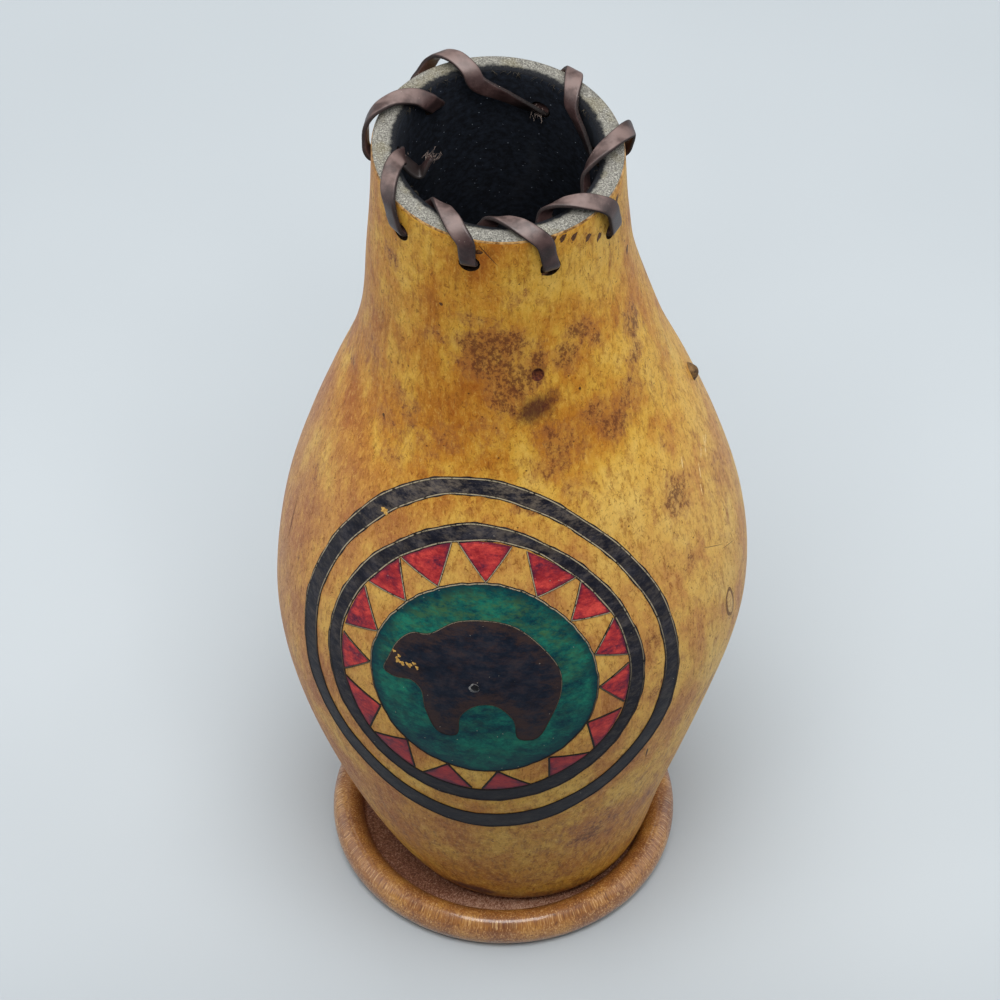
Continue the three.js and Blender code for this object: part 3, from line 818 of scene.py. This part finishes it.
# A walking bear that faces left, in shares of its length from the nose over the back
BEAR_LENGTH = 46
BEAR_OUTLINE = [
    (-0.565, -0.03), (-0.545, 0.065), (-0.5, 0.195), (-0.425, 0.28), (-0.325, 0.305), (-0.175, 0.415),
    (0, 0.45), (0.175, 0.42), (0.325, 0.295), (0.425, 0.13), (0.43, -0.02), (0.37, -0.205),
    (0.295, -0.355), (0.205, -0.35), (0.175, -0.205), (0.075, -0.1), (-0.03, -0.11), (-0.115, -0.205),
    (-0.135, -0.355), (-0.225, -0.36), (-0.305, -0.215), (-0.34, -0.075), (-0.4, -0.03), (-0.5, -0.05),
]
# Chips in the paint that show the rind: round, up, half width, half height, tilt
CHIPS = [
    (-23.8, 5.6, 0.5, 0.4, 0), (-22.3, 4.7, 0.4, 0.5, 20), (-22.6, 3.3, 0.5, 0.9, 15),
    (-21.3, 2.8, 0.8, 0.5, -25), (-19.3, 3.1, 0.9, 0.6, -10), (-18, 4, 0.5, 0.4, 0),
    (-17.1, 3, 0.35, 0.6, 30), (-35.4, 42.1, 0.9, 0.6, 30), (-34.4, 41.8, 0.5, 0.8, 0),
]
BEAR_PIT = (-2, 0.6)


def brushed_paint(name, tones, worn, worn_from, roughness, patch_size, border=None):
    """Brushed paint of a deep, a middle and a pale tone, with fine brush grain.

    Scuffs of a worn tone thicken from the height worn_from upwards, where hands rub the vase. Where the worn
    tone is pale, they are also a painted highlight on the upper, lit part. The border is deep unless it has a
    tone of its own.
    """
    look = Look(name, 0.1, roughness)
    deep, middle, pale = tones
    height = look.axes()["Z"]
    patches = look.noise(patch_size, 8, 0.8, (0.7, 0.7, 1))
    brush = look.noise(0.7, 4, 0.7, (0.5, 0.5, 1))
    wear = look.noise(2.4, 8, 0.8, (0.5, 0.5, 1))
    look.base = look.ramp(patches, (0.37, deep), (0.5, middle), (0.62, pale))
    look.wash(pale, brush, 0.54, 0.72, 0.45)
    # Scuffs grow towards the top: partly real wear, and with a pale worn tone partly a painted highlight on
    # the lit upper part
    high = look.step(height, worn_from, worn_from + 0.045, 0.2, 1)
    look.wash(worn, look.times(look.step(wear, 0.43, 0.64, 0, 0.85), high))
    # The coat is darker low down, partly as a thicker coat and partly as painted shade on its lower,
    # downward-facing part, and it is thicker and darker at its edges
    look.wash(deep, height, 0.125, 0.07, 0.6)
    edge = look.sum((look.stored("edge"), 1), (wear, 2))
    look.wash(border or deep, edge, 1.35, 1.9, 0.7)
    look.wash("b0a898", look.times(look.specks(3.2, 0.045), 0.55))
    return look.finish(look.step(patches, 0.35, 0.7, roughness - 0.08, roughness + 0.12), brush, 0.05)


def burn_material():
    """Scorched lines, dark low down, with a groove painted pale higher up as a painted highlight where the
    light catches it.
    """
    look = Look("burned line", 0.25, 0.6)
    speckle = look.noise(1.3, 5, 0.7)
    # Painted highlight: the groove is painted pale higher up, where light would catch it
    high = look.step(look.axes()["Z"], 0.105, 0.15, 0, 0.8)
    look.base = look.ramp(speckle, (0.35, "0d0a0a"), (0.6, "2a1e1a"))
    pale = look.times(look.step(speckle, 0.34, 0.5), high)
    look.wash("c4b698", look.times(pale, look.stored("groove")))
    return look.finish(height=speckle, depth=0.05)


def medallion_point(spot, lift):
    """Places (round, up) of the medallion on the rind."""
    spot = np.asarray(spot, float)
    return rind_point(MEDALLION_ANGLE + spot[..., 0] / BELLY_RADIUS, MEDALLION_HEIGHT + spot[..., 1], lift)


def on_oval(oval, turn, grow=0.0):
    middle, width, height, tilt = oval
    return np.stack(turned((width + grow) * np.cos(turn), (height + grow) * np.sin(turn), tilt), -1) + middle


def drawn_oval(oval, phase, inset=0.0, wobble=0.2):
    """The whole oval as an unsteady hand draws it, or a steadier line of it set inwards or outwards."""
    turn = full_turn(360)
    hand = np.sin(4 * turn + phase) + 0.7 * np.sin(7 * turn + 2 * phase) + 0.5 * np.sin(16 * turn + phase)
    tremor = 0.5 * np.sin(31 * turn + 3 * phase) + 0.4 * np.sin(53 * turn + 5 * phase)
    return on_oval(oval, turn, wobble * (hand + tremor * (inset == 0)) - inset)


def make_coat(node, slot, paint, points, faces, edge):
    """A coat of paint in place of a node. The edge says how near the coat's border each point is."""
    coat = make_object(f"{node}_coat", points, faces, paint)
    store(coat, "edge", edge)
    finish_piece(coat, slot, node)


def coat_between(node, slot, paint, first, second, steps, wrap=True):
    """A coat of paint between two lines of points."""
    shares = np.linspace(0, 1, steps)
    points = medallion_point([between(first, second, share) for share in shares], PAINT_LIFT)
    sides = np.zeros(len(first)) if wrap else np.linspace(-1, 1, len(first)) ** 4
    edge = np.maximum.outer((2 * shares - 1) ** 4, sides).ravel()
    make_coat(node, slot, paint, points, grid_faces(steps, len(first), wrap), edge)


def filled_coat(node, slot, paint, outline, lift):
    """A coat of paint inside an outline of any shape."""
    spacing, border, strength = 1.2, 9, 0.8
    low, high = outline.min(0), outline.max(0)
    inside = np.stack(np.meshgrid(*[np.arange(a, b, spacing) for a, b in zip(low, high)]), -1).reshape(-1, 2)
    count = len(outline)
    edges = [(i, (i + 1) % count) for i in range(count)]
    spots = [Vector(spot) for spot in [*outline, *inside]]
    found, _, faces, *_ = delaunay_2d_cdt(spots, edges, [tuple(range(count))], 1, 1e-4)
    flat = np.array([tuple(spot) for spot in found])
    gap = np.linalg.norm(flat[:, None] - outline, axis=2).min(1)
    edge = strength - strength * smooth_step(0, border, gap)
    make_coat(node, slot, paint, medallion_point(flat, lift), [tuple(face) for face in faces], edge)


def burned_line(name, path, closed=True, width=0.8):
    """A burned groove between two low lips, along a path on the medallion."""
    before, after = (path[-1:], path[:1]) if closed else (path[:1], path[-1:])
    longer = np.concatenate([before, path, after])
    along = unit(longer[2:] - longer[:-2])
    side = np.stack([-along[:, 1], along[:, 0]], -1)
    # Shares of the width across, height over the rind and how deep in the groove each row is
    half = [(0.5, -0.05, 0), (0.26, 0.18, 0), (0.1, 0.12, 1)]
    section = [(-offset, lift, depth) for offset, lift, depth in half] + half[::-1]
    rows = [medallion_point(path + side * offset * width, lift) for offset, lift, _ in section]
    line = make_object(name, np.array(rows), grid_faces(len(section), len(path), closed), burn)
    store(line, "groove", np.repeat([depth for *_, depth in section], len(path)))
    finish_piece(line, "black_paint")


def make_rings():
    # The black paint's worn tone is pale, so its scuffs on the upper rings are partly a painted highlight
    black = brushed_paint("black paint", ("14141d", "1d1e28", "3c3a40"), "86796a", 0.15, 0.5, 5.0)
    for name, ring, phase in (("outer_ring", OUTER_RING, 0.4), ("inner_ring", INNER_RING, 1.7)):
        sides = [drawn_oval(oval, phase + i) for i, oval in enumerate(ring)]
        coat_between(f"{name}_paint", "black_paint", black, *sides, 9)
        for i, (edge, inset) in enumerate((("outer", LINE_WIDTH / 2), ("inner", -LINE_WIDTH / 2))):
            burned_line(f"{name}_{edge}_line", drawn_oval(ring[i], phase + i, inset))


def make_rays():
    red = brushed_paint("red paint", ("48223a", "b4383a", "e05248"), "8a2028", 0.12, 0.42, 4.5)
    for number, turns in enumerate(RAYS, 1):
        start, end, tip_turn = np.radians(turns)
        tip = on_oval(DISC, tip_turn, LINE_WIDTH / 2)
        base = on_oval(INNER_RING[1], np.linspace(start, end, 12))
        coat_between(f"ray_paint_{number:02d}", "red_paint", red, between(tip, base, 0.03), base, 12, False)
        for side, corner in (("right", base[0]), ("left", base[-1])):
            line = between(tip, corner, np.linspace(0, 1, 16)[:, None])
            burned_line(f"ray_{number:02d}_{side}_line", line, False, FINE_LINE)


def make_disc():
    green = brushed_paint("green paint", ("0c2c3c", "14524f", "207862"), "46683e", 0.11, 0.42, 5.5)
    edge = drawn_oval(DISC, 2.6, wobble=0.12)
    coat_between("disc_paint", "green_paint", green, edge, between(edge.mean(0), edge, 0.02), 24)
    burned_line("disc_line", edge)


def medallion_spot(round_side, up, wide, tall, tilt, swell=0.03, lift=0.2, wobble=0.25):
    """A small patch on the medallion, over the paint."""
    angle = math.degrees(MEDALLION_ANGLE + round_side / BELLY_RADIUS)
    return spot_mesh(angle, MEDALLION_HEIGHT + up, wide, tall, tilt, swell, wobble, lift)


def make_bear():
    brown = brushed_paint("bear paint", ("121722", "1a212e", "2c2d36"), "5c3e2e", 0.125, 0.5, 4.5, "40302c")
    corners = np.column_stack([np.array(BEAR_OUTLINE) * BEAR_LENGTH, np.zeros(len(BEAR_OUTLINE))])
    outline = spline_points(corners, 8, closed=True)[:, :2]
    filled_coat("bear_paint", "bear_paint", brown, outline, BEAR_LIFT)
    burned_line("bear_line", outline, width=FINE_LINE)
    chips = [medallion_spot(*chip) for chip in CHIPS]
    make_patches("paint_chips", chips, "bare rind in a chip", ("b07f34", "e2b868"), 0.6, "bear_paint")
    # A pit in the bear's paint: its lip is painted pale grey as a painted highlight and its hollow near-black
    # as painted shade
    lip = medallion_spot(*BEAR_PIT, 1.3, 1.4, 0, 0.25, wobble=0.06)
    make_patches("bear_pit_lip", [lip], "pit lip", ("3a3a40", "8c8a88"), 0.6, "bear_paint")
    hollow = medallion_spot(BEAR_PIT[0] + 0.25, BEAR_PIT[1] + 0.35, 1, 1, 0, 0.2, 0.4, 0.06)
    make_patches("bear_pit_hollow", [hollow], "pit dark", ("08080a", "15141a"), 0.6, "bear_paint")


burn = burn_material()
make_rings()
make_rays()
make_disc()
make_bear()


# Lace


def leather_material():
    look = Look("lace leather", 0.5, 0.4)
    clouds = look.noise(5)
    pores = look.noise(0.4, 3, 0.7)
    look.base = look.ramp(clouds, (0.35, "2b1d1c"), (0.5, "3a2928"), (0.66, "4e3a38"))
    look.wash("6a5450", pores, 0.55, 0.72, 0.35)
    # The lace is painted paler on its upward faces over the rim, partly rubbed and partly a painted
    # highlight, and is dark and rough at its cut edges
    look.wash("8e7a74", look.times(look.stored("rubbed_and_lit"), look.step(clouds, 0.35, 0.6, 0.15, 0.52)))
    edge = look.stored("edge")
    look.wash("1c1110", look.times(edge, look.step(pores, 0.32, 0.58, 0.5, 1)))
    look.wash("b3a69c", look.times(look.specks(2.6, 0.035), 0.6))
    # The runs deep in the mouth are painted dark, as painted shade inside the mouth
    look.wash("120e0e", look.stored("deep"))
    roughness = look.sum((look.step(clouds, 0.35, 0.65, 0.36, 0.48), 1), (edge, 0.4))
    relief = look.sum((pores, look.sum((edge, 1), (pores, 0.5))), (clouds, 0.5))
    return look.finish(roughness, relief, 0.09)


def outer_face(height):
    return radius_at(height) + LACE_OFFSET


def over_rim(hole, lean, early, slack):
    """The lace's way out of a hole, up the wall and in an arch over the rim."""
    angle, height = hole
    halfway = between(height, ARCH_HEIGHT, 0.6)
    reach = ARCH_REACH + slack
    in_wall = radius_at(height) - LACE_WALL / 2
    stops = [(0, in_wall + share * LACE_WALL, height) for share in (-0.5, 0, 0.5)]
    stops += [
        (early * 0.1, outer_face(height) + slack * 0.3, height + BEND_RISE),
        (early * 0.5, outer_face(halfway) + BEND_EASE + slack * 0.8, halfway),
    ]
    for degrees, share in ARCH_STOPS:
        turn = math.radians(degrees)
        radius = RIM_RADIUS - LACE_WALL / 2 + reach * math.cos(turn)
        stops.append((between(early, 1, share), radius, ARCH_HEIGHT + reach * math.sin(turn)))
    return [gourd_point(angle + math.radians(lean) * share, *place) for share, *place in stops]


def into_hole(hole):
    angle, height = hole
    inner_face = radius_at(height) - LACE_WALL - LACE_OFFSET
    return gourd_point(angle, inner_face - BEND_EASE, height + BEND_RISE)


def lace_stops():
    """Points that the lace passes: out of each hole, up over the rim and down to the next hole."""
    first_angle, first_height = HOLES[0]
    stops = [
        gourd_point(first_angle + math.radians(turn), RIM_RADIUS - LACE_WALL - inwards, first_height + rise)
        for turn, inwards, rise in TAIL_STOPS
    ]
    for number, (hole, (_, lean, _, early, slack)) in enumerate(zip(HOLES, STITCHES)):
        if number:
            stops.append(into_hole(hole))
        stops += over_rim(hole, lean, early, slack)
        last = number == len(HOLES) - 1
        end = into_hole(HOLES[(number + 1) % len(HOLES)])
        stops += [between(stops[-1], end, share) for share in ((0.45,) if last else (0.45, 0.8))]
    return np.array(stops)


def even_steps(path, step):
    """The path again, with points at even distances."""
    run = np.concatenate([[0], np.cumsum(np.linalg.norm(np.diff(path, axis=0), axis=1))])
    wanted = np.linspace(0, run[-1], round(run[-1] / step) + 1)
    return np.stack([np.interp(wanted, run, path[:, axis]) for axis in range(3)], -1)


def lace_section():
    """Points round the strip's rounded edge: across the strip and through it."""
    turn = full_turn(24)[::-1]
    circle = np.stack([np.cos(turn), np.sin(turn)], -1)
    squareness = [0.35, 0.7]
    return np.sign(circle) * np.abs(circle) ** squareness * [LACE_WIDTH / 2, LACE_THICKNESS / 2]


def make_lace():
    step = 0.4
    path = even_steps(spline_points(lace_stops(), 24), step)
    along = unit(np.gradient(path, axis=0))
    across, _ = directions(angle_of(path))
    across = unit(across - along * (across * along).sum(1, keepdims=True))
    through = np.cross(along, across)
    run = np.arange(len(path)) * step
    width = 0.97 + 0.03 * np.sin(run * 0.31) + 0.02 * np.sin(run * 0.83 + 1)
    section = lace_section()
    flat = section[None, :, :1] * (across * width[:, None])[:, None]
    rows = path[:, None] + flat + section[None, :, 1:] * through[:, None]
    lace = closed_rows("rim_lace_leather", rows, path[0], path[-1], leather_material())
    edge = smooth_step(0.86, 0.99, np.abs(section[:, 0]) * 2 / LACE_WIDTH)
    upwards = np.sign(section[:, 1]) * through[:, 2:]
    near_rim = smooth_step(RIM_HEIGHT - 5, RIM_HEIGHT, path[:, 2:])
    # Upward faces near the rim are painted paler: partly rubbed leather, partly a painted highlight
    rubbed_and_lit = smooth_step(0.4, 0.95, upwards) * (1 - edge) * near_rim
    store(lace, "rubbed_and_lit", np.concatenate([rubbed_and_lit.ravel(), [0, 0]]))
    store(lace, "edge", np.concatenate([np.tile(edge, len(path)), [1, 1]]))
    # Painted shade: how far each run lies inside the mouth below the arches, where the lace is painted dark
    inwards = RIM_RADIUS - LACE_WALL - reach_of(path)
    deep = 0.85 * smooth_step(0, 1, inwards) * smooth_step(ARCH_HEIGHT - 2, ARCH_HEIGHT - 7, path[:, 2])
    deep *= smooth_step(1.5, 4, run)
    store(lace, "deep", np.concatenate([np.repeat(deep, len(section)), deep[[0, -1]]]))
    finish_piece(lace, "lace_leather", "rim_lace")
    make_frays(path)


def make_frays(path):
    """Loose fibres at the lace's two ends and where it drops through the hole at the back."""
    # Root, way and number of fibres
    tufts = [(path[0], path[0] - path[6], 30), (path[-1], path[-1] - path[-7], 12)]
    tufts.append((into_hole(HOLES[2]), np.array([0, -1.5, -1]), 20))
    strands = []
    for root, way, count in tufts:
        way = unit(way)
        for _ in range(count):
            start = root + random.normal(0, 0.7, 3) - way * 0.6
            bend = start + way * random.uniform(0.5, 1.2) + random.normal(0, 0.25, 3)
            end = bend + way * random.uniform(0.3, 1.0) + random.normal(0, 0.45, 3)
            strands.append(strand([start, bend, end], random.uniform(0.1, 0.26)))
    make_patches("lace_frays", strands, "frayed leather", ("4a3e3a", "8a7c74"), 0.5, "lace_leather")


make_lace()


# Stage, light and camera, with the lights and the camera placed in metres


def make_stage():
    look = Look("pale paper floor", 0.15, 0.85)
    look.base = look.ramp(look.noise(160, 2), (0.35, "b6bdc2"), (0.65, "bac1c6"))
    # The sheet falls away into shade in front of the vase
    look.wash("50545a", look.axes()["Y"], -0.02, -0.22, 0.85)
    side = 9000
    corners = np.array([(-side, -side, 0), (side, -side, 0), (side, side, 0), (-side, side, 0)])
    make_object("floor", corners, [(0, 1, 2, 3)], look.finish())


def add_light(name, place, aim, side, power, tint):
    lamp = bpy.data.lights.new(name, "AREA")
    lamp.size = side
    lamp.energy = power
    lamp.color = tint
    holder = add_object(name, lamp)
    holder.location = place
    holder.rotation_euler = (Vector(aim) - Vector(place)).to_track_quat("-Z", "Y").to_euler()


def light_scene():
    world = bpy.data.worlds.new("studio")
    world.use_nodes = True
    backdrop = world.node_tree.nodes["Background"].inputs
    backdrop["Color"].default_value = (0.92, 0.97, 1.0, 1)
    backdrop["Strength"].default_value = 0.25
    bpy.context.scene.world = world
    add_light("key", (0, -0.45, 1.4), (0, 0, 0.13), 0.8, 18, (1, 0.99, 0.98))
    add_light("overhead", (0, 0.35, 1.2), (0, 0, 0.13), 0.8, 5, (1, 0.99, 0.98))
    for name, side in (("left_wall", -1), ("right_wall", 1)):
        add_light(name, (1.65 * side, 0.22, 0.7), (0, 0, 0.15), 2, 13, (0.97, 0.99, 1))
    bpy.context.scene.view_settings.view_transform = "Standard"


def place_camera():
    degrees_down = 49.7
    lens = bpy.data.cameras.new("camera")
    lens.sensor_width = 36
    lens.lens = 288
    lens.clip_end = 20
    holder = add_object("camera", lens)
    holder.location = (-0.0009, -1.2842, 1.6410)
    holder.rotation_euler = (math.radians(90 - degrees_down), 0, 0)
    bpy.context.scene.camera = holder


make_stage()
light_scene()
place_camera()
